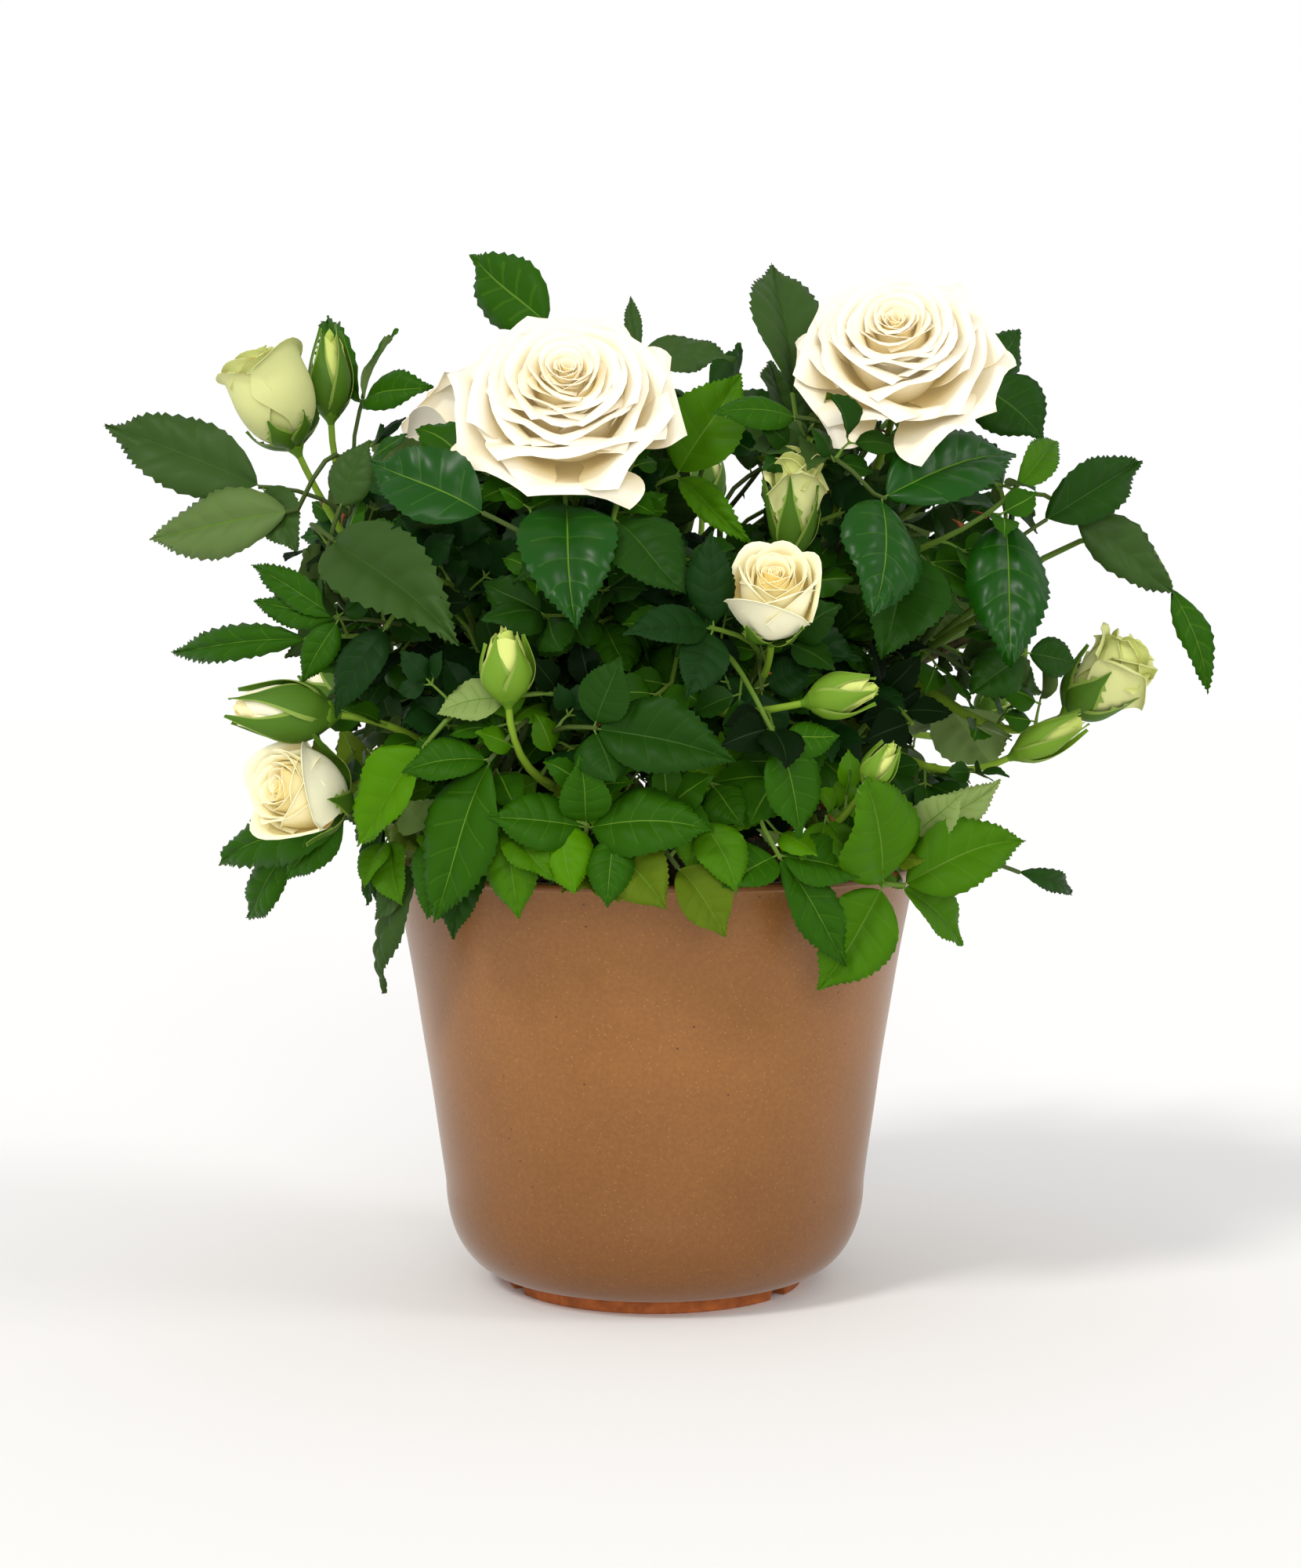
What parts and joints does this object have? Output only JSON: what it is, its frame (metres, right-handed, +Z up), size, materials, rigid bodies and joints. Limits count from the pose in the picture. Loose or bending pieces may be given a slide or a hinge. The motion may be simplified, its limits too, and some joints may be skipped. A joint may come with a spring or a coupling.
{
  "type": "rose bush in a pot",
  "caption": "Miniature white rose bush in a glazed stoneware pot, with open roses, buds and glossy compound leaves.",
  "frame": {"origin": "centre of the pot's foot, on the floor", "axes": "+Z up; -Y towards the viewer of the plant's front, +X to that viewer's right"},
  "size_m": [0.3147, 0.215, 0.299],
  "materials": {
    "stoneware": "satin",
    "soil": "matte",
    "bark": "satin",
    "foliage": "satin",
    "blossom": "matte"
  },
  "bodies": {
    "root": {"pot": "stoneware", "soil": "soil", "left_rose_cane": "bark", "right_rose_cane": "bark", "middle_cane": "bark", "front_cane": "bark", "lower_left_cane": "bark", "left_cane": "bark", "lower_right_cane": "bark", "right_cane": "bark", "back_left_cane": "bark", "back_cane": "bark", "back_right_cane": "bark", "left_rose_mass": "foliage", "right_rose_mass": "foliage", "middle_mass": "foliage", "front_mass": "foliage", "lower_left_mass": "foliage", "left_mass": "foliage", "lower_right_mass": "foliage", "right_mass": "foliage", "back_left_mass": "foliage", "back_mass": "foliage", "back_right_mass": "foliage"}
  },
  "joints": []
}
